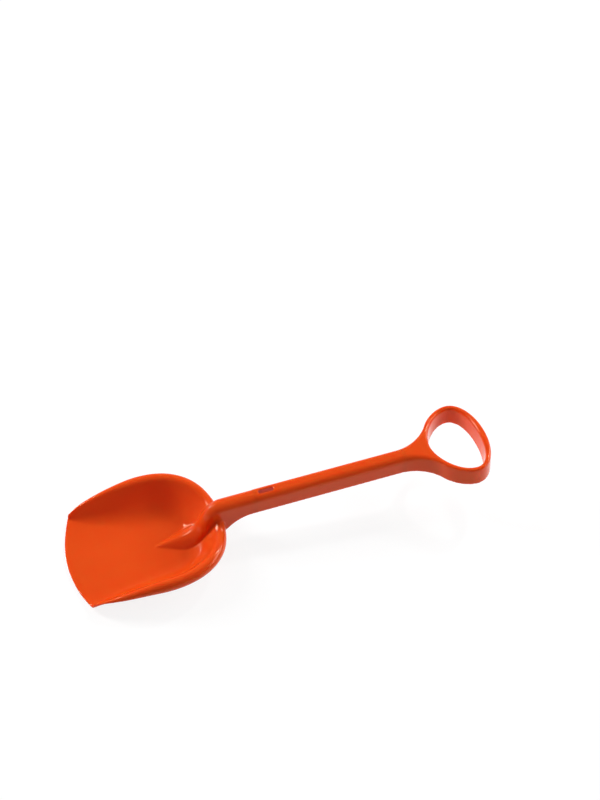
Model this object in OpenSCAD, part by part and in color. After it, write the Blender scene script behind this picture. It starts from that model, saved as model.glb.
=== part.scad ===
// Child's sand shovel with a D grip, moulded in one go from tough plastic.
// +X runs from the digging edge to the grip, +Z is up, the blade floor rests on Z = 0.
// Each node is one region of the moulding and meets its neighbours face to face.

/* [Overall] */
// length from the digging edge to the end of the grip
overall_length = 401.6; // [360:0.1:440]
// thickness of the moulded shell
wall = 2.5; // [2:0.1:3]
// thickness left at the digging edge
edge_thickness = 1.2; // [0.8:0.1:2]
// length over which the underside thins towards that edge
edge_taper = 9; // [3:0.5:20]

/* [Scoop] */
// widest point of the scoop, measured from the digging edge
wide_station = 78; // [70:0.5:90]
// distance from the widest point back to the centre of the rolled rim
back_reach = 60.8; // [55:0.1:70]
// half of the width between the centres of the rolled rim
rim_half_width = 61; // [56:0.5:68]
// squareness of the back outline, 2 is a true ellipse
back_squareness = 2.3; // [2:0.05:2.6]
// half of the width over the front corners
corner_half_width = 51.5; // [46:0.5:56]
// how far the digging edge bows forward of its corners
edge_bow = 11; // [6:0.5:16]
// height of the front corners above the inner floor
corner_lift = 2.6; // [0:0.2:5]
// run over which a front corner lifts
corner_run = 24; // [14:0.5:30]
// distance from the rim centre in to the turn between floor and wall
wall_reach = 20.5; // [17:0.5:24]
// length of the soft turn between floor and wall at the back
turn_back = 16; // [10:0.5:18]
// length of the same turn at the front corners
turn_front = 1; // [0.5:0.1:3]
// strip of floor between the flat plate and that turn
floor_margin = 3; // [1:0.5:6]

/* [Rim] */
// radius of the rolled rim round the back
rim_radius = 5.8; // [4.5:0.1:7]
// radius of the rim where it runs out at the front corners
rim_radius_front = 1.4; // [1.3:0.1:2.5]
// height of the rim centre at the highest point of the sides
rim_peak = 26.2; // [22:0.2:32]
// how far the rim dips where it meets the neck
rim_dip = 6; // [2:0.2:8]
// how far the rim sweeps up again along the sides of the neck
neck_sweep = 5; // [0:0.5:6]
// how far the rim has dropped again at the widest station
rim_fall = 2; // [0:0.2:4]
// how far the rim sags on its way to the front corners
rim_sag = 3.8; // [0:0.2:5]
// height of the rim centre above the underside at the front corners
rim_corner_height = 8; // [6:0.2:11]
// how far the rim stands outside the front corners
rim_corner_out = 1.2; // [0.6:0.1:3]
// turn that the rim makes past its crown on the way down, in degrees
roll_past = 40; // [0:1:60]

/* [Neck] */
// length of the neck behind the centre of the back rim
neck_length = 35.2; // [30:0.1:45]
// height of the crown where the shaft takes over
neck_crown = 48.35; // [42:0.1:56]
// start of the downward bend behind the centre of the back rim
bend_start = 4.2; // [1:0.1:8]
// middle of the steep run, in front of the centre of the back rim
steep_run = 14.8; // [12:0.2:20]
// height of the crest at that middle
steep_height = 29.5; // [24:0.5:34]
// point of the ridge, in front of the centre of the back rim
ridge_length = 58.8; // [50:0.1:68]
// widest point of the ridge, in front of the centre of the back rim
ridge_wide_station = 28.5; // [24:0.5:34]
// widest half of the ridge on the floor
ridge_half_width = 12.2; // [9:0.1:14]
// height of the skirt under the back of the rim
skirt_height = 12; // [8:0.5:16]

/* [Shaft] */
// rise of the shaft towards the grip, in degrees
shaft_rise = 4.5; // [0:0.5:8]
// width of the shaft across its sides
shaft_width = 15.5; // [14:0.5:18]
// depth of the shaft from its crown to its open edges
shaft_depth = 19.5; // [17:0.5:24]
// radius of the two rounded upper edges
shaft_round = 6; // [4:0.2:7]
// length of the hanging slot
slot_length = 14.5; // [10:0.5:18]
// width of the hanging slot
slot_width = 4.8; // [4.4:0.1:6]
// centre of the hanging slot, from the start of the shaft
slot_from_start = 11; // [10:0.5:20]
// first rib inside the channel, from the start of the shaft
rib_from_start = 30; // [24:0.5:40]
// thickness of the ribs inside the channel
rib_thickness = 1.8; // [1.2:0.1:3]
// how far the ribs stay back from the open edges
rib_setback = 4; // [2:0.5:8]

/* [Grip] */
// length of the grip with its fork
grip_length = 83.6; // [78:0.2:92]
// length of the closed loop beyond the fork
loop_length = 50.6; // [46:0.2:52]
// depth of the grip band
grip_depth = 19.5; // [16:0.5:24]
// half of the width over the grip band
grip_half_width = 42; // [38:0.5:48]
// band thickness at the two sides
band_thickness = 4.8; // [4:0.1:6]
// band thickness at the far bar
bar_thickness = 6.1; // [4.5:0.1:8]
// length of the finger hole
hole_length = 48.9; // [44:0.1:54]
// widest point of the finger hole, from its narrow end
hole_wide_station = 31.5; // [27:0.5:34]
// rounding of the upper band edges
band_round = 1.7; // [0.8:0.1:2]
// flare of the band sides over their full depth
band_flare = 0.7; // [0.2:0.1:1.2]

/* [Hidden] */
front_x = -overall_length / 2;
end_x = overall_length / 2;
wide_x = front_x + wide_station;
back_x = wide_x + back_reach;
cut_over = wall / 2;
// faces round the outline and across a section
back_steps = 14;
front_steps = 12;
flat_steps = 2;
turn_steps = 6;
straight_steps = 2;
roll_steps = 9;
under_steps = 5;
floor_spans = 8;
rib_count = 4;

// quadratic and cubic curve through control points
function curve2(p, q, r, t) = p * (1 - t) * (1 - t) + q * 2 * t * (1 - t) + r * t * t;
function curve3(p, q, r, s, t) =
    p * pow(1 - t, 3) + q * 3 * t * pow(1 - t, 2) + r * 3 * t * t * (1 - t) + s * pow(t, 3);
function mix(p, q, t) = p + (q - p) * t;
function unit(v) = v / norm(v);
function clamp01(t) = max(0, min(1, t));
function ease(t) = clamp01(t) * clamp01(t) * (3 - 2 * clamp01(t));
function reversed(p) = [for (i = [len(p) - 1 : -1 : 0]) p[i]];

// The scoop is drawn as sections that stand on its outline. Behind the widest station they
// follow a squared ellipse by the angle b, in front of it they run forward by the angle a.
function super_pow(v) = pow(max(v, 0), 2 / back_squareness);
function rim_back_x(b) = wide_x + back_reach * super_pow(cos(b));
function rim_back_y(b) = rim_half_width * super_pow(sin(b));
function turn_back_x(b) = wide_x + (back_reach - wall_reach) * super_pow(cos(b));
function turn_back_y(b) = (rim_half_width - wall_reach) * super_pow(sin(b));
fall_share = 28 / 90;
dip_power = 8;
sweep_power = 60;
function fall_part(b) = pow(clamp01((b / 90 - 1 + fall_share) / fall_share), 2);
function rim_back_height(b) =
    rim_peak - rim_dip * pow(cos(b), dip_power) + neck_sweep * pow(cos(b), sweep_power)
    - rim_fall * fall_part(b);

// forward run covered by a front section, from the widest station to the digging edge
function forward(a) = sin(a);
function edge_x(y) = front_x + edge_bow * pow(y / corner_half_width, 2);
rim_side_height = rim_peak - rim_fall;
drop_power = 1.5;
width_power = 0.9;
radius_power = 1.15;
function rim_front_height(a) =
    rim_corner_height + (rim_side_height - rim_corner_height) * pow(max(cos(a), 0), drop_power)
    - rim_sag * forward(a) * (1 - forward(a));
rim_corner_half = corner_half_width + rim_corner_out;
function rim_front_y(a) =
    rim_corner_half + (rim_half_width - rim_corner_half) * pow(max(cos(a), 0), width_power);
function rim_front_radius(a) = mix(rim_radius, rim_radius_front, pow(forward(a), radius_power));
turn_side = rim_half_width - wall_reach;
flat_side = turn_side - turn_back - floor_margin;
flat_corner = corner_half_width - turn_front - corner_run;
function turn_front_y(a) = turn_side + (corner_half_width - turn_side) * pow(forward(a), 2);
function turn_front_length(a) = mix(turn_back, turn_front, forward(a));
function flat_front_y(a) = mix(flat_side, flat_corner, forward(a));
function front_wall(a) =
    mix(edge_thickness, wall, clamp01((wide_station - edge_bow) * (1 - forward(a)) / edge_taper));

// A section s holds rim offset, rim height, rim radius, turn length, flat run, lift, thickness.
// Its points are [distance from the turn, height].
function knee(s) = [0, wall + s[5] + 2 * s[5] / s[4] * s[3]];
function rim_gap(s) = norm([s[0], s[1]] - knee(s));
function wall_angle(s) =
    atan2(s[1] - knee(s)[1], s[0]) + asin(min(0.98, s[2] / rim_gap(s)));
function wall_dir(s) = [cos(wall_angle(s)), sin(wall_angle(s))];
function wall_length(s) = sqrt(max(pow(rim_gap(s), 2) - s[2] * s[2], 0));
function wall_top(s) = knee(s) + wall_dir(s) * wall_length(s);
function wall_out(s) = [wall_dir(s)[1], -wall_dir(s)[0]];
function turn_in(s) = knee(s) - [1, 2 * s[5] / s[4]] * s[3];
function turn_out(s) = knee(s) + wall_dir(s) * s[3];

// inner face: floor strip, soft turn, straight wall up to the rim
function inner_line(s) = concat(
    [for (i = [0 : flat_steps - 1])
        let (u = i / flat_steps)
        [-s[3] - s[4] * (1 - u), wall + s[5] * u * u]],
    [for (i = [0 : turn_steps]) curve2(turn_in(s), knee(s), turn_out(s), i / turn_steps)],
    [for (i = [1 : straight_steps]) mix(turn_out(s), wall_top(s), i / straight_steps)]
);
function line_tangent(p, i) =
    i == 0 ? [1, 0] : i == len(p) - 1 ? unit(p[i] - p[i - 1])
    : unit(unit(p[i + 1] - p[i]) + unit(p[i] - p[i - 1]));
function line_normal(p, i) = [line_tangent(p, i)[1], -line_tangent(p, i)[0]];
// outer face: the inner face set off by the thickness of the section
function outer_line(s) = let (p = inner_line(s))
    [for (i = [0 : len(p) - 1])
        i == len(p) - 1 ? wall_top(s) + wall_out(s) * s[6]
        : p[i] + line_normal(p, i) * s[6]];
function shell_loop(s) = concat(inner_line(s), reversed(outer_line(s)));

// rolled rim: over the crown and down outside, then back up underneath
function rim_under_radius(s) = max(s[2] - s[6], 0) + 0.06 * wall;
function rim_axis(s) = wall_top(s) + wall_out(s) * s[2];
function rim_under_axis(s) = wall_top(s) + wall_out(s) * (s[6] + rim_under_radius(s));
function swing(s, t) = -wall_out(s) * cos(t) + wall_dir(s) * sin(t);
function roll_end(s) =
    180 + roll_past * clamp01((s[2] - rim_radius_front) / (rim_radius - rim_radius_front));
function rim_line(s) = concat(
    [for (i = [0 : roll_steps]) rim_axis(s) + swing(s, roll_end(s) * i / roll_steps) * s[2]],
    [for (i = [0 : under_steps])
        i == under_steps ? wall_top(s) + wall_out(s) * s[6]
        : rim_under_axis(s) + swing(s, roll_end(s) * (1 - i / under_steps)) * rim_under_radius(s)]
);

// back section at angle b, front section at angle a, each on the side -1 or +1
function back_dir(b) = unit([rim_back_x(b) - turn_back_x(b), rim_back_y(b) - turn_back_y(b)]);
function back_data(b) = [
    norm([rim_back_x(b) - turn_back_x(b), rim_back_y(b) - turn_back_y(b)]),
    rim_back_height(b), rim_radius, turn_back, floor_margin, 0, wall];
function front_data(a) = [
    rim_front_y(a) - turn_front_y(a), rim_front_height(a), rim_front_radius(a), turn_front_length(a),
    turn_front_y(a) - turn_front_length(a) - flat_front_y(a), corner_lift * pow(forward(a), 4),
    front_wall(a)];
function place_back(b, side, q) = [
    turn_back_x(b) + back_dir(b)[0] * q[0], side * (turn_back_y(b) + back_dir(b)[1] * q[0]), q[1]];
function place_front(a, side, q) =
    let (y = turn_front_y(a) + q[0])
    [wide_x + (edge_x(y) - wide_x) * forward(a), side * y, q[1]];

// all sections in order, from the near front corner round the back to the far one
function all_sections(line_of) = concat(
    [for (i = [0 : front_steps - 1])
        let (a = 90 - 90 * i / front_steps)
        [for (q = line_of(front_data(a))) place_front(a, -1, q)]],
    [for (i = [0 : back_steps - 1])
        let (b = 90 - 90 * i / back_steps)
        [for (q = line_of(back_data(b))) place_back(b, -1, q)]],
    [for (i = [0 : back_steps])
        let (b = 90 * i / back_steps)
        [for (q = line_of(back_data(b))) place_back(b, 1, q)]],
    [for (i = [1 : front_steps])
        let (a = 90 * i / front_steps)
        [for (q = line_of(front_data(a))) place_front(a, 1, q)]]
);

// skin over equal closed loops, with the end faces given as strips of loop places
module skin(loops, ends) {
    n = len(loops[0]);
    m = len(loops);
    pts = [for (l = loops) for (p = l) p];
    side = [for (i = [0 : m - 2]) for (j = [0 : n - 1])
        let (k = (j + 1) % n)
        each [[i * n + j, (i + 1) * n + j, (i + 1) * n + k], [i * n + j, (i + 1) * n + k, i * n + k]]];
    first = [for (e = ends) each [[e[0], e[1], e[2]], [e[0], e[2], e[3]]]];
    last = [for (e = ends)
        let (o = (m - 1) * n)
        each [[o + e[2], o + e[1], o + e[0]], [o + e[3], o + e[2], o + e[0]]]];
    polyhedron(points = pts, faces = concat(side, [for (f = concat(first, last)) if (f[1] != f[2]) f]),
        convexity = 10);
}
// ends for a loop made of a line out and an equal line back, and for a rounded loop
function strip_ends(n) = [for (i = [0 : n / 2 - 2]) [i, i + 1, n - 2 - i, n - 1 - i]];
function fan_ends(n) = [for (i = [1 : 2 : n - 2]) [0, i, i + 1, min(i + 2, n - 1)]];

module scoop_wall_solid() {
    loops = all_sections(function (s) shell_loop(s));
    skin(loops, strip_ends(len(loops[0])));
}
module rim_solid() {
    loops = all_sections(function (s) rim_line(s));
    skin(loops, fan_ends(len(loops[0])));
}

// Flat floor in strips across, thinning underneath at the digging edge. Its last strip ends
// inside the foot of the ridge.
function floor_strip(x_of, half, low) = concat(
    [for (i = [floor_spans : -1 : 0])
        let (y = half * (2 * i / floor_spans - 1))
        [x_of(y), y, wall]],
    [for (i = [0 : floor_spans])
        let (y = half * (2 * i / floor_spans - 1))
        [x_of(y), y, low]]);
function floor_front(a) = floor_strip(
    function (y) wide_x + (edge_x(y) - wide_x) * forward(a), flat_front_y(a), wall - front_wall(a));
function floor_back(b) =
    let (q = place_back(b, 1, inner_line(back_data(b))[0]))
    floor_strip(function (y) q[0], q[1], 0);
module floor_plate() {
    loops = concat(
        [for (i = [0 : front_steps]) floor_front(90 - 90 * i / front_steps)],
        [for (i = [1 : back_steps - 1]) floor_back(90 - 90 * i / back_steps)]);
    skin(loops, strip_ends(len(loops[0])));
}

// Neck and ridge: the crest in side view, from the shaft down to the point on the floor.
shaft_start = back_x + neck_length;
shaft_end = end_x - grip_length;
rise = tan(shaft_rise);
function crown_z(x) = neck_crown + rise * (x - shaft_start);
bend_x = back_x + bend_start;
steep_x = back_x - steep_run;
ridge_tip = back_x - ridge_length;
crest_start = [bend_x, crown_z(bend_x)];
crest_mid = [steep_x, steep_height];
crest_tip = [ridge_tip, wall];
// pulls of the crest curve at its start, its middle and its point
bend_pull = 0.63 * (bend_x - steep_x);
steep_pull = 0.37 * (bend_x - steep_x);
elbow_pull = 1.05 * (bend_x - steep_x);
tip_pull = 0.75 * (steep_x - ridge_tip);
tip_slope = 0.3;
steep_dir = unit([-0.36, -0.93]);
function crest(t) = t < 1
    ? curve3(crest_start, crest_start - [bend_pull, bend_pull * rise],
        crest_mid - steep_dir * steep_pull, crest_mid, t)
    : curve3(crest_mid, crest_mid + steep_dir * elbow_pull,
        crest_tip + [tip_pull, tip_slope * tip_pull], crest_tip, t - 1);
function crest_slope(t) = let (d = crest(t + 0.01) - crest(t - 0.01)) abs(d[1] / d[0]);

// foot half width of the neck in plan
half_shaft = shaft_width / 2;
shoulder_x = back_x - 0.5 * rim_radius;
ridge_wide_x = back_x - ridge_wide_station;
tip_fullness = 0.1;
shoulder_power = 1.5;
function tip_share(x) = clamp01((x - ridge_tip) / (ridge_wide_x - ridge_tip));
function foot_half(x) =
    x > shoulder_x ? half_shaft
    : x > ridge_wide_x
    ? mix(half_shaft, ridge_half_width,
        pow(sin(90 * (shoulder_x - x) / (shoulder_x - ridge_wide_x)), shoulder_power))
    : ridge_half_width * tip_share(x) * (1 + tip_fullness * (1 - pow(tip_share(x), 6)));

// inner face of the scoop on its centre line, read as height over x
back_line = [for (q = inner_line(back_data(0))) place_back(0, 1, q)];
function face_z(x) =
    x <= back_line[0][0] ? wall
    : lookup(x, [for (q = back_line) [q[0], q[2]]]);

// lower edge of the neck sides, from the open shaft edge to the underside of the blade
skirt_end = back_x + rim_radius;
skirt_power = 2.6;
heel = turn_back_x(0) + wall;
function low_z(x) =
    x > skirt_end
    ? mix(crown_z(x) - shaft_depth, skirt_height,
        pow((shaft_start - x) / (shaft_start - skirt_end), skirt_power))
    : x > heel ? skirt_height * (x - heel) / (skirt_end - heel)
    : 0;

bend_steps = 9;
tip_steps = 12;
neck_steps = 5;
last_share = 1.99;
neck_places = concat(
    [for (i = [0 : neck_steps - 1])
        let (x = mix(shaft_start, bend_x, i / neck_steps))
        [x, crown_z(x), rise]],
    [for (i = [0 : bend_steps + tip_steps - 1])
        let (t = i < bend_steps ? i / bend_steps : 1 + (i - bend_steps) / tip_steps)
        [crest(t)[0], crest(t)[1], t == 0 ? rise : crest_slope(t)]],
    [[crest(last_share)[0], crest(last_share)[1], crest_slope(last_share)]]
);
arc_steps = 8;
// half of a rounded section: w half width, top height, start height of the rounding, and a
// tent value that goes from the boxy shaft section at 0 to the pointed ridge section at 1
function neck_half(w, top, start, tent) = [for (i = [0 : arc_steps])
    curve3([w, start], [w * mix(1, 0.8, tent), mix(start, top, mix(0.55, 0.4, tent))],
        [w * mix(0.55, 0.32, tent), top], [0, top], i / arc_steps)];
function neck_section(p, inset) =
    let (x = p[0])
    let (tent = ease((bend_x - x) / (bend_x - ridge_wide_x)))
    let (w = foot_half(x) - inset)
    let (top = p[1] - inset * sqrt(1 + p[2] * p[2]))
    let (low = inset > 0 ? low_z(x) - cut_over : low_z(x))
    let (foot = mix(p[1] - shaft_round * sqrt(1 + p[2] * p[2]), min(face_z(x), p[1] - 0.2 * wall), tent))
    let (start = max(foot, low + 0.1 * wall))
    let (arc = neck_half(w, top, min(start, top - 0.1 * wall), tent))
    concat([[x, -w, low]], [for (q = arc) [x, -q[0], q[1]]],
        [for (i = [1 : arc_steps]) let (q = arc[arc_steps - i]) [x, q[0], q[1]]], [[x, w, low]]);

module neck_body() {
    loops = [for (p = neck_places) neck_section(p, 0)];
    skin(loops, fan_ends(len(loops[0])));
}
// the neck is hollow from below where it is wide and high enough for two walls
module neck_hollow() {
    keep = [for (p = neck_places) if (foot_half(p[0]) > 1.6 * wall && p[1] > 2 * wall) p];
    loops = concat(
        [[for (q = neck_section(keep[0], wall)) q + [cut_over, 0, cut_over * rise]]],
        [for (p = keep) neck_section(p, wall)]);
    skin(loops, fan_ends(len(loops[0])));
}
// plan of the neck as a cutter for the scoop
module neck_cutter() {
    side = [for (p = neck_places) [p[0], foot_half(p[0])]];
    translate([0, 0, -cut_over])
    linear_extrude(height = neck_crown)
    polygon(concat(side, [for (q = reversed(side)) [q[0], -q[1]]]));
}

// The shaft and the grip are drawn along their own line, which starts at the crown of the
// shaft end of the neck and rises with the shaft.
module on_shaft_line() {
    translate([shaft_start, 0, neck_crown])
    rotate([0, -shaft_rise, 0])
    children();
}
module slice_at(from, to) {
    translate([from, -2 * grip_half_width, 0])
    cube([to - from, 4 * grip_half_width, overall_length]);
}
module shaft_profile(inset) {
    w = half_shaft - inset;
    r = max(shaft_round - inset, wall);
    low = -shaft_depth - (inset > 0 ? cut_over : 0);
    hull() {
        translate([-inset - r, w - r])
        circle(r = r, $fn = 40);
        translate([-inset - r, r - w])
        circle(r = r, $fn = 40);
        translate([low, -w])
        square([-low - inset - r, 2 * w]);
    }
}
module shaft_bar(from, to, inset) {
    on_shaft_line()
    translate([from, 0, 0])
    rotate([0, 90, 0])
    linear_extrude(height = to - from)
    mirror([1, 0])
    shaft_profile(inset);
}
shaft_length = (shaft_end - shaft_start) / cos(shaft_rise);
slot_x = shaft_start + slot_from_start;
function rib_x(i) = mix(shaft_start + rib_from_start, shaft_end, i / rib_count);

// Grip outlines along the shaft line, one half each: the finger hole and the outside.
grip_tip = (end_x - shaft_start - grip_depth * sin(shaft_rise)) / cos(shaft_rise) - band_flare;
hole_end = grip_tip - bar_thickness;
hole_start = hole_end - hole_length;
hole_wide = hole_start + hole_wide_station;
hole_half = grip_half_width - band_thickness;
fork_end = end_x - loop_length;
outline_steps = 14;
function hole_point(t) = t < 1
    ? curve3([hole_start, 0], [hole_start, 0.4 * hole_half],
        [mix(hole_start, hole_wide, 0.48), hole_half], [hole_wide, hole_half], t)
    : curve3([hole_wide, hole_half], [mix(hole_wide, hole_end, 0.6), hole_half],
        [hole_end, 0.6 * hole_half], [hole_end, 0], t - 1);
// the fork swings out of the shaft to a joint beside the narrow end of the hole
fork_joint = [hole_start + 1.5 * wall, 0.6 * grip_half_width];
fork_dir = unit([0.55, 0.835]);
fork_pull = 0.28 * (grip_half_width - half_shaft);
fork_lead = 2 * wall;
function outer_point(t) = t < 1
    ? curve3([shaft_length - fork_lead, half_shaft], [shaft_length + 1.3 * fork_pull, half_shaft],
        fork_joint - fork_dir * fork_pull, fork_joint, t)
    : t < 2
    ? curve3(fork_joint, fork_joint + fork_dir * fork_pull,
        [hole_wide - 1.2 * fork_pull, grip_half_width], [hole_wide, grip_half_width], t - 1)
    : curve3([hole_wide, grip_half_width], [mix(hole_wide, grip_tip, 0.55), grip_half_width],
        [grip_tip, 0.6 * grip_half_width], [grip_tip, 0], t - 2);
function outer_dir(t) =
    t <= 0 ? [1, 0] : unit(outer_point(min(t + 0.01, 3)) - outer_point(t - 0.01));
function hole_dir(t) =
    t <= 0 ? [0, 1] : t >= 2 ? [0, -1] : unit(hole_point(t + 0.01) - hole_point(t - 0.01));
function outer_out(t) = t >= 3 ? [1, 0] : [-outer_dir(t)[1], outer_dir(t)[0]];
function hole_out(t) = [-hole_dir(t)[1], hole_dir(t)[0]];
function edge_round(t) = mix(shaft_round, band_round, ease(t));

// rings of the grip: outer ones by their depth share and turn of the rounded edge
round_steps = 5;
function outer_place(t, depth_share, turn) =
    let (r = edge_round(t))
    let (p = outer_point(t)
        + outer_out(t) * (band_flare * depth_share * clamp01(t) - r * (1 - cos(turn))))
    [p[0], p[1], depth_share == 0 ? -r * (1 - sin(turn)) : -grip_depth * depth_share];
function outer_ring(depth_share, turn) = concat(
    [for (i = [0 : 3 * outline_steps]) outer_place(i / outline_steps, depth_share, turn)],
    [for (i = [3 * outline_steps - 1 : -1 : 0])
        let (p = outer_place(i / outline_steps, depth_share, turn))
        [p[0], -p[1], p[2]]]
);
function hole_ring(z, out) = concat(
    [for (i = [0 : 2 * outline_steps])
        let (p = hole_point(i / outline_steps) + hole_out(i / outline_steps) * out)
        [p[0], p[1], z]],
    [for (i = [2 * outline_steps - 1 : -1 : 1])
        let (p = hole_point(i / outline_steps) + hole_out(i / outline_steps) * out)
        [p[0], -p[1], z]]
);
module stack(rings) {
    n = len(rings[0]);
    m = len(rings);
    pts = [for (l = rings) for (p = l) p];
    side = [for (i = [0 : m - 2]) for (j = [0 : n - 1])
        let (k = (j + 1) % n)
        each [[i * n + k, (i + 1) * n + k, (i + 1) * n + j], [i * n + k, (i + 1) * n + j, i * n + j]]];
    bottom = [for (j = [n - 1 : -1 : 0]) j];
    top = [for (j = [0 : n - 1]) (m - 1) * n + j];
    polyhedron(points = pts, faces = concat(side, [bottom, top]), convexity = 8);
}
module grip_skin() {
    stack(concat([outer_ring(1, 0)],
        [for (k = [0 : round_steps]) outer_ring(0, 90 * k / round_steps)]));
}
module grip_hole() {
    stack(concat(
        [hole_ring(-grip_depth - cut_over, -1.6 * band_flare), hole_ring(-band_round, 0)],
        [for (k = [1 : round_steps])
            let (turn = 90 * k / round_steps)
            hole_ring(-band_round * (1 - sin(turn)), band_round * (1 - cos(turn)))],
        [hole_ring(cut_over, band_round)]));
}
// open hollow under the fork, one wall inside the outlines
module fork_pocket() {
    outer = [for (i = [0 : outline_steps])
        outer_point(i / outline_steps) - outer_out(i / outline_steps) * wall];
    inner = [for (i = [outline_steps / 2 : -1 : 0])
        hole_point(i / outline_steps) + hole_out(i / outline_steps) * wall];
    near = [for (p = reversed(concat(outer, inner))) [p[0], -p[1]]];
    translate([0, 0, -grip_depth - cut_over])
    linear_extrude(height = grip_depth + cut_over - wall)
    intersection() {
        polygon(concat(outer, inner, near));
        translate([0, -grip_half_width])
        square([(fork_end - shaft_start) / cos(shaft_rise) - wall, 2 * grip_half_width]);
    }
}

module blade_floor() {
    color("orangered")
    difference() {
        floor_plate();
        neck_cutter();
    }
}
module scoop_wall() {
    color("orangered")
    difference() {
        scoop_wall_solid();
        neck_cutter();
    }
}
module rolled_rim() {
    color("tomato")
    difference() {
        rim_solid();
        neck_cutter();
    }
}
module neck_ridge() {
    color("orangered")
    difference() {
        neck_body();
        neck_hollow();
    }
}
module shaft() {
    color("orangered")
    difference() {
        intersection() {
            shaft_bar(-wall, shaft_length + wall, 0);
            slice_at(shaft_start, shaft_end);
        }
        shaft_bar(-2 * wall, shaft_length + 2 * wall, wall);
        translate([slot_x - slot_length / 2, -slot_width / 2, crown_z(slot_x) - shaft_depth])
        cube([slot_length, slot_width, 2 * shaft_depth]);
    }
}
module shaft_rib(i) {
    color("tomato")
    intersection() {
        shaft_bar(0, shaft_length, wall);
        translate([rib_x(i), -half_shaft, crown_z(rib_x(i)) - shaft_depth + rib_setback])
        cube([rib_thickness, shaft_width, 2 * shaft_depth]);
    }
}
module shaft_rib_1() { shaft_rib(0); }
module shaft_rib_2() { shaft_rib(1); }
module shaft_rib_3() { shaft_rib(2); }
module shaft_rib_4() { shaft_rib(3); }
module grip_fork() {
    color("orangered")
    intersection() {
        on_shaft_line()
        difference() {
            grip_skin();
            grip_hole();
            fork_pocket();
        }
        slice_at(shaft_end, fork_end);
    }
}
module grip_loop() {
    color("orangered")
    intersection() {
        on_shaft_line()
        difference() {
            grip_skin();
            grip_hole();
        }
        slice_at(fork_end, end_x + grip_depth);
    }
}

blade_floor();
scoop_wall();
rolled_rim();
neck_ridge();
shaft();
shaft_rib_1();
shaft_rib_2();
shaft_rib_3();
shaft_rib_4();
grip_fork();
grip_loop();
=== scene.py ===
import math

import bmesh
import bpy
from mathutils import Matrix, Vector


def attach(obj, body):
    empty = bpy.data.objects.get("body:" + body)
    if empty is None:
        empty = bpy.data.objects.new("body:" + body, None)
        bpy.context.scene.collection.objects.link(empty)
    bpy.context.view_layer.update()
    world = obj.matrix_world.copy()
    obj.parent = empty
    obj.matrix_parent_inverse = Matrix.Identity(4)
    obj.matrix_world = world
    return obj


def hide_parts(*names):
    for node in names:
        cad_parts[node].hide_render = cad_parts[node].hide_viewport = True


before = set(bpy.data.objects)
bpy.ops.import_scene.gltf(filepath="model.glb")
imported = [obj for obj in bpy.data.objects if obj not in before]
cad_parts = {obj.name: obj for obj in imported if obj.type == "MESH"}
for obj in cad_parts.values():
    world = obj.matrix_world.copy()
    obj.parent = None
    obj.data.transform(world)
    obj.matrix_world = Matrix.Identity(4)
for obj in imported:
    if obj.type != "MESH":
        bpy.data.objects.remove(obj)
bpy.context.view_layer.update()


# The scoop is one moulded sheet of plastic: a flat floor, a soft turn, a leaning wall and a lip
# that rolls over and down. It is drawn as chains from rim to rim and given its wall afterwards.
MM = 0.001
wall = 2.5 * MM
edge_thickness = 1.5 * MM
edge_taper = 9 * MM
front_x = -200.8 * MM
wide_station = 78 * MM
wide_x = front_x + wide_station
back_reach = 60.8 * MM
back_x = wide_x + back_reach
rim_half_width = 61 * MM
back_squareness = 2.3
corner_half_width = 51.5 * MM
edge_bow = 11 * MM
corner_lift = 2.6 * MM
corner_run = 24 * MM
corner_lean = 0.5
lift_power = 4
wall_reach = 20.5 * MM
turn_back = 16 * MM
turn_front = 1 * MM
floor_margin = 3 * MM
rim_radius = 5.8 * MM
rim_radius_front = 1.4 * MM
thinning_power = 1.15
rim_peak = 26.2 * MM
rim_dip = 6 * MM
dip_power = 8
neck_sweep = 5 * MM
sweep_power = 60
rim_fall = 2 * MM
fall_from = 62
fall_over = 28
rim_sag = 3.8 * MM
rim_corner_height = 9.5 * MM
drop_power = 1.5
rim_corner_out = 1.8 * MM
narrowing_power = 0.9
roll_back = 220
roll_front = 95
front_chains = 13
back_chains = 14
middle_steps = 4
flat_shares = (0, 0.34, 0.67)
turn_steps = 7
wall_steps = 3
lip_steps = 10
merge_distance = 0.02 * MM
turn_side = rim_half_width - wall_reach
quarter = math.pi / 2


def mix(p, q, t):
    return p + (q - p) * t


def clamp01(t):
    return max(0.0, min(1.0, t))


def curve2(p, q, r, t):
    return p * (1 - t) ** 2 + q * (2 * t * (1 - t)) + r * t * t


def squared(v):
    """A coordinate of the circle, pushed out to the squared ellipse of the scoop's back."""
    return max(v, 0.0) ** (2 / back_squareness)


def edge_x(y):
    return front_x + edge_bow * (y / corner_half_width) ** 2


def section(offset, height, radius, turn, run, lift):
    """Points (distance from the turn, height) from the flat floor over the wall to the lip end.

    The wall is tangent to the turn at its foot and to the lip's arc at its top.
    """
    knee = Vector((0, wall + lift + 2 * lift / run * turn))
    to_rim = Vector((offset, height)) - knee
    lean = math.atan2(to_rim.y, to_rim.x) + math.asin(radius / to_rim.length)
    up = Vector((math.cos(lean), math.sin(lean)))
    out = Vector((up.y, -up.x))
    top = knee + up * math.sqrt(to_rim.length_squared - radius * radius)
    turn_in = knee - Vector((1, 2 * lift / run)) * turn
    turn_out = knee + up * turn
    points = [Vector((-turn - run * (1 - u), wall + lift * u * u)) for u in flat_shares]
    points += [curve2(turn_in, knee, turn_out, i / turn_steps) for i in range(turn_steps + 1)]
    points += [mix(turn_out, top, i / wall_steps) for i in range(1, wall_steps + 1)]
    axis = top + out * radius
    rolled = clamp01(2 * (radius - rim_radius_front) / (rim_radius - rim_radius_front))
    end = mix(roll_front, roll_back, rolled)
    for i in range(1, lip_steps + 1):
        turned = math.radians(end * i / lip_steps)
        points.append(axis + (up * math.sin(turned) - out * math.cos(turned)) * radius)
    return points


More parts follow.
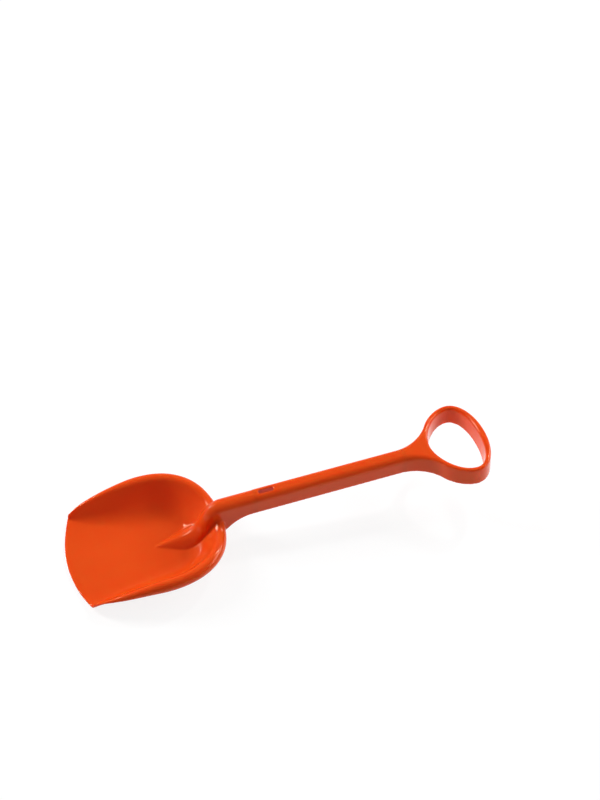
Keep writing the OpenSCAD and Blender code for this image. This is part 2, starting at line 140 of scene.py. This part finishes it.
def front_half(a):
    """One chain's half, from the middle of the floor to the lip, at the side of the scoop.

    The angle a runs from 0 at the widest station to a quarter turn at the digging edge.
    """
    forward, late = math.sin(a), max(math.cos(a), 0.0)
    side_height = rim_peak - rim_fall
    height = rim_corner_height + (side_height - rim_corner_height) * late ** drop_power
    height -= rim_sag * forward * (1 - forward)
    rim_y = mix(corner_half_width + rim_corner_out, rim_half_width, late ** narrowing_power)
    radius = mix(rim_radius, rim_radius_front, forward ** thinning_power)
    turn_y = mix(turn_side, corner_half_width, forward ** 2)
    turn = mix(turn_back, turn_front, forward)
    flat_wide = turn_side - turn_back - floor_margin
    flat_y = mix(flat_wide, corner_half_width - turn_front - corner_run, forward)
    flat_run = turn_y - turn - flat_y
    points = section(rim_y - turn_y, height, radius, turn, flat_run, corner_lift * forward ** lift_power)
    half = [(flat_y * i / middle_steps, wall) for i in range(middle_steps)]
    half += [(turn_y + p.x, p.y) for p in points]
    chain = []
    for y, z in half:
        set_back = corner_lean * max(z - wall - corner_lift, 0)
        chain.append(Vector((mix(wide_x, edge_x(y) + set_back, forward), y, z)))
    return chain


def back_half(b):
    """The same round the back, from the neck at 0 to the widest station at a quarter turn."""
    along, across = squared(math.cos(b)), squared(math.sin(b))
    rim = Vector((back_reach * along, rim_half_width * across))
    turn = Vector(((back_reach - wall_reach) * along, turn_side * across))
    out = (rim - turn).normalized()
    fall = clamp01((math.degrees(b) - fall_from) / fall_over) ** 2
    near_neck = max(math.cos(b), 0.0)
    height = (rim_peak - rim_dip * near_neck ** dip_power
              + neck_sweep * near_neck ** sweep_power - rim_fall * fall)
    points = section((rim - turn).length, height, rim_radius, turn_back, floor_margin, 0)
    flat = turn + out * points[0].x
    half = [(flat.x, flat.y * i / middle_steps, wall) for i in range(middle_steps)]
    half += [(turn.x + out.x * p.x, turn.y + out.y * p.x, p.y) for p in points]
    return [Vector((wide_x + x, y, z)) for x, y, z in half]


def bridge(bm, rings, closed):
    """Bridges each chain of points to the next one and returns the chains' vertices."""
    chains, edges = [], []
    for ring in rings:
        verts = [bm.verts.new(p) for p in ring]
        pairs = list(zip(verts, verts[1:])) + ([(verts[-1], verts[0])] if closed else [])
        chains.append(verts)
        edges.append([bm.edges.new(pair) for pair in pairs])
    for near, far in zip(edges, edges[1:]):
        bmesh.ops.bridge_loops(bm, edges=near + far)
    return chains


def finished(name, bm):
    mesh = bpy.data.meshes.new(name)
    bm.to_mesh(mesh)
    bm.free()
    piece = bpy.data.objects.new(name, mesh)
    bpy.context.scene.collection.objects.link(piece)
    return piece


def applied(piece):
    """Bakes the piece's modifiers into its mesh."""
    bpy.context.view_layer.update()
    depsgraph = bpy.context.evaluated_depsgraph_get()
    mesh = bpy.data.meshes.new_from_object(piece.evaluated_get(depsgraph))
    piece.modifiers.clear()
    piece.data = mesh
    return piece


halves = [front_half(quarter * (1 - i / front_chains)) for i in range(front_chains)]
halves += [back_half(quarter * (1 - i / back_chains)) for i in range(back_chains + 1)]
bm = bmesh.new()
bridge(bm, [[Vector((p.x, -p.y, p.z)) for p in reversed(h[1:])] + h for h in halves], False)
bmesh.ops.remove_doubles(bm, verts=bm.verts, dist=merge_distance)
bmesh.ops.recalc_face_normals(bm, faces=bm.faces)
flattest = max(bm.faces, key=lambda f: abs(f.normal.z) * f.calc_area())
if flattest.normal.z < 0:
    bmesh.ops.reverse_faces(bm, faces=bm.faces)
scoop = finished("scoop", bm)
thickness = scoop.vertex_groups.new(name="thickness")
for v in scoop.data.vertices:
    behind = v.co.x - edge_x(v.co.y)
    forward = clamp01(1 - behind / (wide_x - edge_x(v.co.y)))
    lip = mix(rim_radius, rim_radius_front, forward) / wall
    edge = mix(edge_thickness / wall, 1, clamp01(behind / edge_taper))
    thickness.add([v.index], min(lip, edge, 1), "REPLACE")
smooth = scoop.modifiers.new("smooth", "SUBSURF")
smooth.levels = smooth.render_levels = 2
smooth.boundary_smooth = "PRESERVE_CORNERS"
shell = scoop.modifiers.new("wall", "SOLIDIFY")
shell.thickness = wall
shell.offset = -1
shell.use_even_offset = True
shell.vertex_group = "thickness"
applied(scoop)


# The neck and its ridge: the shaft comes over the back rim as a rounded beam, bends down the
# inside of the wall and runs out in a point on the floor. It is moulded in one with the scoop
# and hollow from below, with the same wall.
shaft_width = 15.5 * MM
shaft_depth = 19.5 * MM
shaft_round = 6 * MM
shaft_rise = 4.5
rise = math.tan(math.radians(shaft_rise))
neck_crown = 48.35 * MM
shaft_start = back_x + 35.2 * MM
bend_x = back_x + 4.2 * MM
steep_x = back_x - 14.8 * MM
steep_height = 29.5 * MM
ridge_tip = back_x - 58.8 * MM
ridge_wide_x = back_x - 28.5 * MM
shoulder_x = back_x - 0.5 * rim_radius
ridge_half_width = 12.2 * MM
skirt_height = 12 * MM
skirt_end = back_x + rim_radius
skirt_power = 2.6
skirt_least = 0.4 * MM
shoulder_power = 1.5
ridge_fullness = 0.1
fullness_power = 6
flank_wide_shares = (1, 0.8)
flank_high_shares = (0.55, 0.4)
shoulder_shares = (0.55, 0.32)
least_step = 0.1 * wall
hollow_least_width = 1.6 * wall
hollow_least_height = 2 * wall
heel = wide_x + back_reach - wall_reach + wall
half_shaft = shaft_width / 2
cut_past = 2 * MM
beam_overlap = 3 * MM
beam_steps = 8
crest_steps = 48
last_station = 1.995
arc_steps = 12
nudge = 0.01


def ease(t):
    t = clamp01(t)
    return t * t * (3 - 2 * t)


def curve3(p, q, r, s, t):
    return p * (1 - t) ** 3 + q * (3 * t * (1 - t) ** 2) + r * (3 * t * t * (1 - t)) + s * t ** 3


def crown_z(x):
    return neck_crown + rise * (x - shaft_start)


crest_start = Vector((bend_x, crown_z(bend_x)))
crest_mid = Vector((steep_x, steep_height))
crest_tip = Vector((ridge_tip, wall))
steep_dir = Vector((-0.36, -0.93)).normalized()
bend_run = bend_x - steep_x
bend_pull = 0.63 * bend_run
steep_share = 0.37
elbow_share = 1.05
tip_pull = 0.75 * (steep_x - ridge_tip)
tip_slope = 0.3


def crest(t):
    """The crest line, (x, z): from 0 to 1 down over the rim, from 1 to 2 out to the tip."""
    if t < 1:
        return curve3(crest_start, crest_start - Vector((bend_pull, bend_pull * rise)),
                      crest_mid - steep_dir * steep_share * bend_run, crest_mid, t)
    return curve3(crest_mid, crest_mid + steep_dir * elbow_share * bend_run,
                  crest_tip + Vector((tip_pull, tip_slope * tip_pull)), crest_tip, t - 1)


def foot_half(x):
    """Half the width of the neck or ridge where it stands on the scoop."""
    if x > shoulder_x:
        return half_shaft
    if x > ridge_wide_x:
        share = (shoulder_x - x) / (shoulder_x - ridge_wide_x)
        return mix(half_shaft, ridge_half_width, math.sin(quarter * share) ** shoulder_power)
    share = clamp01((x - ridge_tip) / (ridge_wide_x - ridge_tip))
    return ridge_half_width * share * (1 + ridge_fullness * (1 - share ** fullness_power))


back_face = [(p.x, p.z) for p in back_half(0)][middle_steps - 1:]


def face_z(x):
    """Height of the scoop's inner face on its middle line."""
    for (x0, z0), (x1, z1) in zip(back_face, back_face[1:]):
        if x0 <= x <= x1:
            return mix(z0, z1, (x - x0) / (x1 - x0))
    return wall if x < back_face[0][0] else rim_peak


def low_z(x):
    """Height of the lower edge: the skirt that runs from the shaft down under the rim."""
    if x > skirt_end:
        t = clamp01((shaft_start - x) / (shaft_start - skirt_end))
        return mix(crown_z(x) - shaft_depth, skirt_height, t ** skirt_power)
    return skirt_height * (x - heel) / (skirt_end - heel) if x > heel else 0.0


def neck_section(x, crest_z, slope, inset):
    """A closed ring across the neck. It turns from a beam's section into a ridge's.

    The pairs of shares give the curve's handles, first for the beam and then for the ridge.
    """
    tent = ease((bend_x - x) / (bend_x - ridge_wide_x))
    w = foot_half(x) - inset
    steeper = math.sqrt(1 + slope * slope)
    top = crest_z - inset * steeper
    low = low_z(x) - cut_past if inset > 0 else max(low_z(x), skirt_least)
    ridge_foot = min(face_z(x), crest_z - 2 * least_step)
    foot = mix(crest_z - shaft_round * steeper, ridge_foot, tent)
    start = min(max(foot, low + least_step), top - least_step)
    flank_z = mix(start, top, mix(*flank_high_shares, tent))
    flank = Vector((w * mix(*flank_wide_shares, tent), flank_z))
    shoulder = Vector((w * mix(*shoulder_shares, tent), top))
    half = [Vector((w, low))]
    for i in range(arc_steps + 1):
        half.append(curve3(Vector((w, start)), flank, shoulder, Vector((0, top)), i / arc_steps))
    ring = [Vector((x, -q.x, q.y)) for q in half]
    return ring + [Vector((x, q.x, q.y)) for q in reversed(half[:-1])]


stations = []
for i in range(beam_steps):
    x = mix(shaft_start + beam_overlap, bend_x, i / beam_steps)
    stations.append((x, crown_z(x), rise))
for i in range(crest_steps + 1):
    t = last_station * i / crest_steps
    ahead, behind = crest(min(t + nudge, 2)), crest(max(t - nudge, 0))
    stations.append((crest(t).x, crest(t).y, abs((ahead.y - behind.y) / (ahead.x - behind.x))))


def skin(name, rings):
    """A closed solid over a row of closed rings."""
    bm = bmesh.new()
    chains = bridge(bm, rings, True)
    for end in (chains[0], chains[-1]):
        bm.faces.new(end)
    bmesh.ops.recalc_face_normals(bm, faces=bm.faces)
    return finished(name, bm)


neck = skin("neck", [neck_section(x, z, s, 0) for x, z, s in stations])
hollow = [(x, z, s) for x, z, s in stations
          if foot_half(x) > hollow_least_width and z > hollow_least_height]
neck_hollow = skin("neck_hollow", [neck_section(x, z, s, wall) for x, z, s in hollow])


# The shaft is a straight channel, open underneath, with two rounded upper edges and a slot for
# hanging it on a peg. Inside it run four cross ribs, which keep the CAD's shape and get the
# same plastic.
shaft_end = 117.2 * MM
shaft_length = (shaft_end - shaft_start) / math.cos(math.atan(rise))
shaft_line = Matrix.Translation((shaft_start, 0, neck_crown))
shaft_line @= Matrix.Rotation(-math.atan(rise), 4, "Y")
shaft_overlap = 6 * MM
hollow_overlap = 0.5 * MM
slot_length = 14 * MM
slot_width = 4.2 * MM
slot_depth = 30 * MM
slot_from_start = 11 * MM


def channel(name, start, end, inset, bottom):
    """A bar along the shaft with rounded upper edges, for the shaft or for its hollow."""
    bm = bmesh.new()
    bmesh.ops.create_cube(bm, size=1)
    height = bottom - inset
    bmesh.ops.scale(bm, vec=(end - start, shaft_width - 2 * inset, height), verts=bm.verts)
    bmesh.ops.translate(bm, vec=((start + end) / 2, 0, -inset - height / 2), verts=bm.verts)
    upper = [e for e in bm.edges if all(v.co.z > -bottom / 2 for v in e.verts)
             and abs(e.verts[0].co.x - e.verts[1].co.x) > MM]
    bmesh.ops.bevel(bm, geom=upper, offset=shaft_round - inset, segments=arc_steps, profile=0.5,
                    affect="EDGES", material=-1)
    bm.transform(shaft_line)
    return finished(name, bm)


shaft_solid = channel("shaft_solid", 0, shaft_length + shaft_overlap, 0, shaft_depth)
hollow_end = shaft_length + hollow_overlap
shaft_hollow = channel("shaft_hollow", -beam_overlap, hollow_end, wall, shaft_depth + cut_past)
bm = bmesh.new()
bmesh.ops.create_cube(bm, size=1)
bmesh.ops.scale(bm, vec=(slot_length, slot_width, slot_depth), verts=bm.verts)
bmesh.ops.translate(bm, vec=(shaft_start + slot_from_start, 0, neck_crown), verts=bm.verts)
slot = finished("slot", bm)


# The grip: the channel swings out into two arms and closes in a solid band round the finger
# hole. The band is rounded along its upper edges and flares slightly towards its lower edge.
end_x = 200.8 * MM
grip_depth = 19.5 * MM
grip_half_width = 42 * MM
band_flare = 0.7 * MM
band_round = 1.7 * MM
hole_round = 2.6 * MM
tip_lean = grip_depth * math.sin(math.atan(rise))
grip_tip = (end_x - shaft_start - tip_lean) / math.cos(math.atan(rise)) - band_flare
band_at_tip = 6.1 * MM
band_at_side = 4.8 * MM
hole_length = 48.9 * MM
hole_end = grip_tip - band_at_tip
hole_start = hole_end - hole_length
hole_wide = hole_start + 31.5 * MM
hole_half = grip_half_width - band_at_side
fork_joint = Vector((hole_start + 1.5 * wall, 0.6 * grip_half_width))
fork_dir = Vector((0.55, 0.835))
fork_pull = 9.5 * MM
fork_leave_share = 1.3
fork_close_share = 1.2
band_side_share = 0.55
band_tip_share = 0.6
hole_narrow_share = 0.4
hole_flank_share = 0.48
hole_side_share = 0.6
hole_tip_share = 0.6
hole_draft = 1.6 * band_flare
fork_overlap = 5 * MM
fork_pocket_end = 150.2 * MM
span_steps = 30
round_steps = 8


def hole_point(t):
    """Half the finger hole's outline: from 0 to 1 out to its widest point, to 2 at the tip."""
    widest = Vector((hole_wide, hole_half))
    if t < 1:
        flank = Vector((mix(hole_start, hole_wide, hole_flank_share), hole_half))
        return curve3(Vector((hole_start, 0)), Vector((hole_start, hole_narrow_share * hole_half)),
                      flank, widest, t)
    return curve3(widest, Vector((mix(hole_wide, hole_end, hole_side_share), hole_half)),
                  Vector((hole_end, hole_tip_share * hole_half)), Vector((hole_end, 0)), t - 1)


def outer_point(t):
    """Half the outer outline: to 1 along the shaft and fork, to 2 at the widest, to 3 at the tip."""
    widest = Vector((hole_wide, grip_half_width))
    if t < 1:
        return curve3(Vector((shaft_length - fork_overlap, half_shaft)),
                      Vector((shaft_length + fork_leave_share * fork_pull, half_shaft)),
                      fork_joint - fork_dir * fork_pull, fork_joint, t)
    if t < 2:
        closing = Vector((hole_wide - fork_close_share * fork_pull, grip_half_width))
        return curve3(fork_joint, fork_joint + fork_dir * fork_pull, closing, widest, t - 1)
    side = Vector((mix(hole_wide, grip_tip, band_side_share), grip_half_width))
    return curve3(widest, side, Vector((grip_tip, band_tip_share * grip_half_width)),
                  Vector((grip_tip, 0)), t - 2)


def outward(curve, t, last):
    """Unit normal of a grip outline, pointing away from the finger hole's middle."""
    step = curve(min(t + nudge, last)) - curve(max(t - nudge, 0))
    if t <= 0 and curve is hole_point:
        return Vector((-1, 0))
    if t >= last:
        return Vector((1, 0))
    return Vector((-step.y, step.x)).normalized()


def both_sides(half, closed):
    mirrored = [Vector((p.x, -p.y, p.z)) for p in reversed(half[1 if closed else 0:-1])]
    return half + mirrored


def outer_ring(depth, turned):
    """The grip's outer outline at a depth under its top, or part of the way round its top edge."""
    half = []
    for i in range(3 * span_steps + 1):
        t = i / span_steps
        r = mix(shaft_round, band_round, ease(t))
        grow = band_flare * clamp01(t) * depth / grip_depth - r * (1 - math.cos(turned))
        p = outer_point(t) + outward(outer_point, t, 3) * grow
        half.append(Vector((p.x, p.y, -depth if depth else -r * (1 - math.sin(turned)))))
    return both_sides(half, False)


def beside_hole(t, out):
    return hole_point(t) + outward(hole_point, t, 2) * out


def hole_ring(z, out):
    """The finger hole's outline at a height, let out into the band."""
    half = []
    for i in range(2 * span_steps + 1):
        p = beside_hole(i / span_steps, out)
        half.append(Vector((p.x, p.y, z)))
    return both_sides(half, True)


turns = [quarter * k / round_steps for k in range(round_steps + 1)]
grip_solid = skin("grip_solid", [outer_ring(grip_depth, 0)] + [outer_ring(0, t) for t in turns])
hole_rings = [hole_ring(-grip_depth - cut_past, -hole_draft)]
for t in turns:
    hole_rings.append(hole_ring(-hole_round * (1 - math.sin(t)), hole_round * (1 - math.cos(t))))
finger_hole = skin("finger_hole", hole_rings + [hole_ring(cut_past, hole_round)])
pocket = []
for i in range(span_steps + 1):
    t = i / span_steps
    pocket.append(outer_point(t) - outward(outer_point, t, 3) * wall)
pocket += [beside_hole(i / span_steps, wall) for i in range(span_steps // 2, -1, -1)]
pocket_end = (fork_pocket_end - shaft_start) / math.cos(math.atan(rise)) - wall
pocket = [Vector((min(p.x, pocket_end), p.y)) for p in pocket]
pocket += [Vector((p.x, -p.y)) for p in reversed(pocket[:-1])]
pocket_heights = (-grip_depth - cut_past, -wall)
fork_pocket = skin("fork_pocket", [[Vector((p.x, p.y, z)) for p in pocket] for z in pocket_heights])
for piece in (grip_solid, finger_hole, fork_pocket):
    piece.data.transform(shaft_line)


# The moulding is one shot of plastic, so its regions are fused, and all edges and inner corners
# get the small radius that a mould gives. It is then parted into three pieces, which keep the
# whole moulding's normals, so that no line shows where they part.
fine_grain = 0.5 * MM
core_grain = 0.6 * MM
kept_share = 0.35
soften_passes = 8


def fused(name, solids, grain):
    """One closed skin round several overlapping solids."""
    bm = bmesh.new()
    for solid in solids:
        bm.from_mesh(solid.data)
        bpy.data.objects.remove(solid)
    whole = finished(name, bm)
    remesh = whole.modifiers.new("fuse", "REMESH")
    remesh.mode = "VOXEL"
    remesh.voxel_size = grain
    return applied(whole)


moulding = fused("moulding", (scoop, neck, shaft_solid, grip_solid), fine_grain)
core = fused("core", (neck_hollow, shaft_hollow, slot, fork_pocket, finger_hole), core_grain)
cut = moulding.modifiers.new("cut", "BOOLEAN")
cut.operation = "DIFFERENCE"
cut.solver = "EXACT"
cut.object = core
applied(moulding)
bpy.data.objects.remove(core)
moulding = fused("moulding", (moulding,), fine_grain)
soften = moulding.modifiers.new("soften", "SMOOTH")
soften.factor = 0.5
soften.iterations = soften_passes
applied(moulding)
thin = moulding.modifiers.new("thin_out", "DECIMATE")
thin.ratio = kept_share
applied(moulding)


def parted(name, start, end, nodes):
    """The moulding between two stations, closed at its cuts, in place of CAD nodes."""
    bm = bmesh.new()
    bm.from_mesh(moulding.data)
    rounded = bm.verts.layers.float_vector.new("rounded")
    for v in bm.verts:
        v[rounded] = v.normal
    for x, side in ((start, -1), (end, 1)):
        if x is None:
            continue
        cut = bmesh.ops.bisect_plane(bm, geom=bm.verts[:] + bm.edges[:] + bm.faces[:],
                                     plane_co=(x, 0, 0), plane_no=(side, 0, 0), clear_outer=True)
        rim = [e for e in cut["geom_cut"] if isinstance(e, bmesh.types.BMEdge)]
        bmesh.ops.contextual_create(bm, geom=rim)
    for f in bm.faces:
        f.smooth = True
    normals = [v[rounded].normalized() for v in bm.verts]
    bm.verts.layers.float_vector.remove(rounded)
    piece = finished(name, bm)
    piece.data.normals_split_custom_set_from_vertices(normals)
    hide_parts(*nodes)
    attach(piece, "root")
    return piece


scoop_nodes = ["blade_floor", "scoop_wall", "rolled_rim", "neck_ridge"]
scoop_shell = parted("scoop_shell", None, shaft_start, scoop_nodes)
shaft_channel = parted("shaft_channel", shaft_start, shaft_end, ["shaft"])
grip_handle = parted("grip_handle", shaft_end, None, ["grip_fork", "grip_loop"])
bpy.data.objects.remove(moulding)


# The plastic is glossy orange-red polypropylene, coloured in the mass and slightly translucent.
# The polished mould leaves faint flow waves and a fine grain, and use a few hairline scuffs.
class Shade:
    """A socket of a material's nodes. Sums and products of sockets add Math nodes."""

    def __init__(self, tree, socket=None):
        self.tree = tree
        self.socket = socket

    def node(self, kind, settings, sockets, out=0):
        made = self.tree.nodes.new(kind)
        for name, value in settings.items():
            setattr(made, name, value)
        for name, value in sockets.items():
            if isinstance(value, Shade):
                self.tree.links.new(value.socket, made.inputs[name])
            else:
                made.inputs[name].default_value = value
        return Shade(self.tree, made.outputs[out])

    def math(self, operation, first, second, clamp=False):
        settings = {"operation": operation, "use_clamp": clamp}
        return self.node("ShaderNodeMath", settings, {0: first, 1: second})

    def __add__(self, other):
        return self.math("ADD", self, other)

    def __radd__(self, other):
        return self.math("ADD", other, self)

    def __sub__(self, other):
        return self.math("SUBTRACT", self, other)

    def __rsub__(self, other):
        return self.math("SUBTRACT", other, self)

    def __mul__(self, other):
        return self.math("MULTIPLY", self, other)

    def __rmul__(self, other):
        return self.math("MULTIPLY", other, self)

    def clamped(self):
        return self.math("MULTIPLY", self, 1, True)

    def noise(self, where, scale, detail, stretch=(1, 1, 1), turn=(0, 0, 0)):
        """Noise from 0 to 1 on a stretched and turned copy of the object's coordinates."""
        placing = {"Vector": where, "Rotation": turn, "Scale": stretch}
        placed = self.node("ShaderNodeMapping", {}, placing)
        return self.node("ShaderNodeTexNoise", {}, {"Vector": placed, "Scale": scale, "Detail": detail})


deep_orange = (0.81, 0.079, 0.0075, 1)
light_orange = (0.84, 0.086, 0.0085, 1)
polished = 0.045
grain_haze = 0.03
scuff_haze = 0.06
flow_height = 0.8
grain_height = 0.012
scuff_depth = 0.01
plastic = bpy.data.materials.new("glossy_orange_plastic")
plastic.use_nodes = True
shader = plastic.node_tree.nodes["Principled BSDF"]
mould = Shade(plastic.node_tree)
where = mould.node("ShaderNodeTexCoord", {}, {}, "Object")
flow = mould.noise(where, 26, 2, stretch=(0.6, 1, 1))
grain = mould.noise(where, 950, 3)
hairs = mould.noise(where, 60, 4, stretch=(1, 26, 6), turn=(0, 0, 0.35))
cross_hairs = mould.noise(where, 55, 4, stretch=(1, 30, 6), turn=(0, 0, -0.9))
scuffs = ((hairs - 0.66) * 9).clamped() + ((cross_hairs - 0.68) * 9).clamped()
clouds = ((flow - 0.3) * 2.5).clamped()
mixing = {0: clouds, 6: deep_orange, 7: light_orange}
colour = mould.node("ShaderNodeMix", {"data_type": "RGBA"}, mixing, 2)
roughness = polished + grain * grain_haze + scuffs * scuff_haze
height = flow * flow_height + grain * grain_height - scuffs * scuff_depth
bump = mould.node("ShaderNodeBump", {}, {"Strength": 0.35, "Distance": 0.0006, "Height": height})
for socket, value in (("Base Color", colour), ("Roughness", roughness), ("Normal", bump)):
    plastic.node_tree.links.new(value.socket, shader.inputs[socket])
shader.inputs["IOR"].default_value = 1.49
shader.inputs["Specular IOR Level"].default_value = 0.33
shader.inputs["Specular Tint"].default_value = (1, 0.72, 0.5, 1)
shader.inputs["Subsurface Weight"].default_value = 0.7
shader.inputs["Subsurface Radius"].default_value = (1, 0.15, 0.08)
shader.inputs["Subsurface Scale"].default_value = 0.004
ribs = [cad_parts[f"shaft_rib_{i}"] for i in (1, 2, 3, 4)]
for piece in (scoop_shell, shaft_channel, grip_handle, *ribs):
    piece.data.materials.clear()
    piece.data.materials.append(plastic)


# The floor is a plain pale sheet under the shovel. Seen by the camera and in reflections it is
# white, as an evenly lit studio table is, and it keeps the shovel's soft shadow.
floor_gap = 0.5 * MM
sheet_white = (0.86, 0.86, 0.86, 1)
sheet_glow = 1.08
glow_share = 0.8
bm = bmesh.new()
bmesh.ops.create_grid(bm, x_segments=1, y_segments=1, size=20)
floor = finished("floor", bm)
floor.location.z = -floor_gap
pale = bpy.data.materials.new("pale_floor")
pale.use_nodes = True
table = Shade(pale.node_tree)
ray_kinds = ("Is Camera Ray", "Is Glossy Ray", "Is Transmission Ray")
rays = [table.node("ShaderNodeLightPath", {}, {}, kind) for kind in ray_kinds]
seen = (rays[0] + rays[1] + rays[2]).clamped()
pale_shader = pale.node_tree.nodes["Principled BSDF"]
pale_shader.inputs["Base Color"].default_value = sheet_white
pale_shader.inputs["Roughness"].default_value = 0.9
glow = table.node("ShaderNodeEmission", {}, {"Color": (1, 1, 1, 1), "Strength": sheet_glow})
lit_sheet = Shade(pale.node_tree, pale_shader.outputs[0])
sheet = table.node("ShaderNodeMixShader", {}, {0: seen * glow_share, 1: lit_sheet, 2: glow})
pale.node_tree.links.new(sheet.socket, pale.node_tree.nodes["Material Output"].inputs["Surface"])
floor.data.materials.append(pale)

world = bpy.data.worlds.new("studio")
bpy.context.scene.world = world
world.use_nodes = True
world.node_tree.nodes["Background"].inputs["Color"].default_value = (1, 1, 1, 1)
world.node_tree.nodes["Background"].inputs["Strength"].default_value = 0.2
lamp_distance = 1.6


def softbox(name, azimuth, elevation, size, watts):
    """A rectangular lamp that looks at the shovel from an azimuth and an elevation, in degrees."""
    lamp = bpy.data.lights.new(name, "AREA")
    lamp.shape = "RECTANGLE"
    lamp.size, lamp.size_y = size
    lamp.energy = watts
    light = bpy.data.objects.new(name, lamp)
    a, e = math.radians(azimuth), math.radians(elevation)
    towards = Vector((math.cos(a) * math.cos(e), math.sin(a) * math.cos(e), math.sin(e)))
    light.location = towards * lamp_distance
    light.rotation_euler = towards.to_track_quat("Z", "Y").to_euler()
    bpy.context.scene.collection.objects.link(light)


softbox("right_softbox", 2, 31, (1.4, 0.6), 14.4)
softbox("right_lamp", 37, 47, (0.06, 0.2), 5)
softbox("left_softbox", 142, 36, (0.25, 0.9), 13)
softbox("left_lamp", 140, 24, (0.06, 0.5), 6.5)


# The camera stands where the photograph was taken from. It looks down at the shovel from the
# front and its right side, turned a little about its own line of sight.
camera_place = Vector((-0.30316, -0.79997, 1.04452))
heading = math.radians(21.4335)
pitch = math.radians(45.8513)
roll = math.radians(4.2554)
ahead = Vector((math.sin(heading) * math.cos(pitch), math.cos(heading) * math.cos(pitch),
                -math.sin(pitch)))
level = Vector((math.cos(heading), -math.sin(heading), 0))
upright = level.cross(ahead)
right = level * math.cos(roll) + upright * math.sin(roll)
up = upright * math.cos(roll) - level * math.sin(roll)
camera_data = bpy.data.cameras.new("camera")
camera_data.sensor_width = 36
camera_data.lens = 64.794
camera = bpy.data.objects.new("camera", camera_data)
camera.matrix_world = Matrix((
    (right.x, up.x, -ahead.x, camera_place.x),
    (right.y, up.y, -ahead.y, camera_place.y),
    (right.z, up.z, -ahead.z, camera_place.z),
    (0, 0, 0, 1)))
bpy.context.scene.collection.objects.link(camera)
bpy.context.scene.camera = camera
bpy.context.scene.view_settings.view_transform = "Standard"
